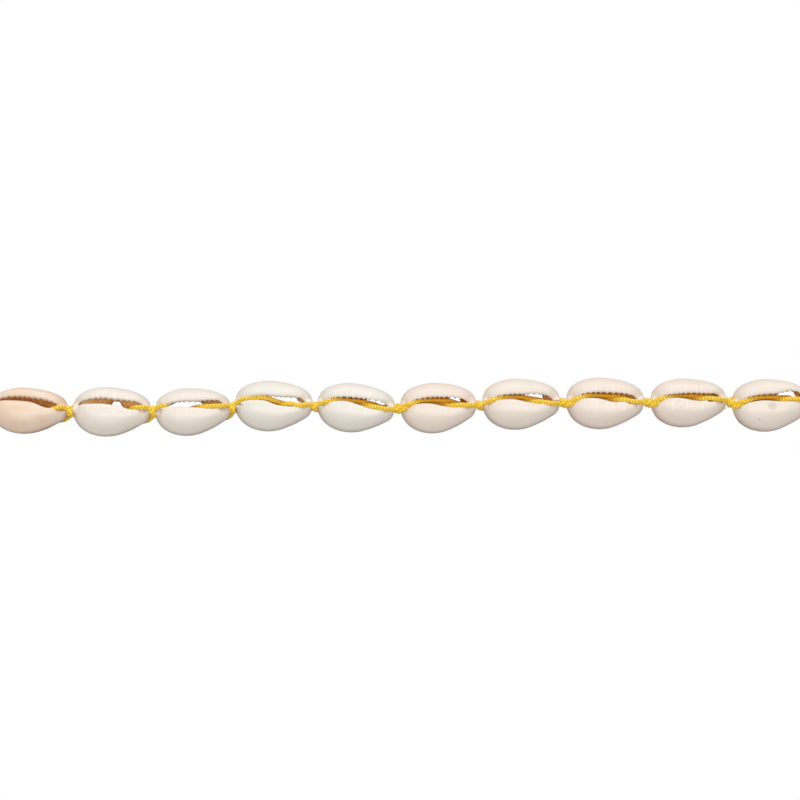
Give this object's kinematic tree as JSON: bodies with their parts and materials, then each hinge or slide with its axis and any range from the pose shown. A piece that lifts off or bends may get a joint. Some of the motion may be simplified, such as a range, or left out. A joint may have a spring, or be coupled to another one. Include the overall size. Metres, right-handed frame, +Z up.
{
  "type": "cowrie shell necklace",
  "caption": "Closed loop of cut-back cowrie shells laid flat with their toothed slots upwards, strung tip to tip on two braided cords that are knotted between the shells.",
  "frame": {"origin": "centre of the bounding box at its bottom: the middle of the loop, on the surface that the necklace lies on", "axes": "+Z up, the way the shells' slots face. X along the loop's two straight rows, with the narrow ends of the pictured row at +X. Y across the loop; the pictured row lies at -Y, with the shells' outer lips towards +Y."},
  "size_m": [0.314, 0.1315, 0.0066],
  "materials": {
    "shell": "glossy natural cowrie enamel, ivory to pinkish cream, brown inside",
    "cord": "golden yellow braided synthetic cord with a slight sheen"
  },
  "bodies": {
    "root": {"shell_01": "shell", "shell_02": "shell", "shell_03": "shell", "shell_04": "shell", "shell_05": "shell", "shell_06": "shell", "shell_07": "shell", "shell_08": "shell", "shell_09": "shell", "shell_10": "shell", "shell_11": "shell", "shell_12": "shell", "shell_13": "shell", "shell_14": "shell", "shell_15": "shell", "shell_16": "shell", "shell_17": "shell", "shell_18": "shell", "shell_19": "shell", "shell_20": "shell", "shell_21": "shell", "shell_22": "shell", "shell_23": "shell", "shell_24": "shell", "shell_25": "shell", "shell_26": "shell", "shell_27": "shell", "shell_28": "shell", "shell_29": "shell", "shell_30": "shell", "shell_31": "shell", "shell_32": "shell", "shell_33": "shell", "shell_34": "shell", "shell_35": "shell", "shell_36": "shell", "strand_a": "cord", "strand_b": "cord"}
  },
  "joints": []
}
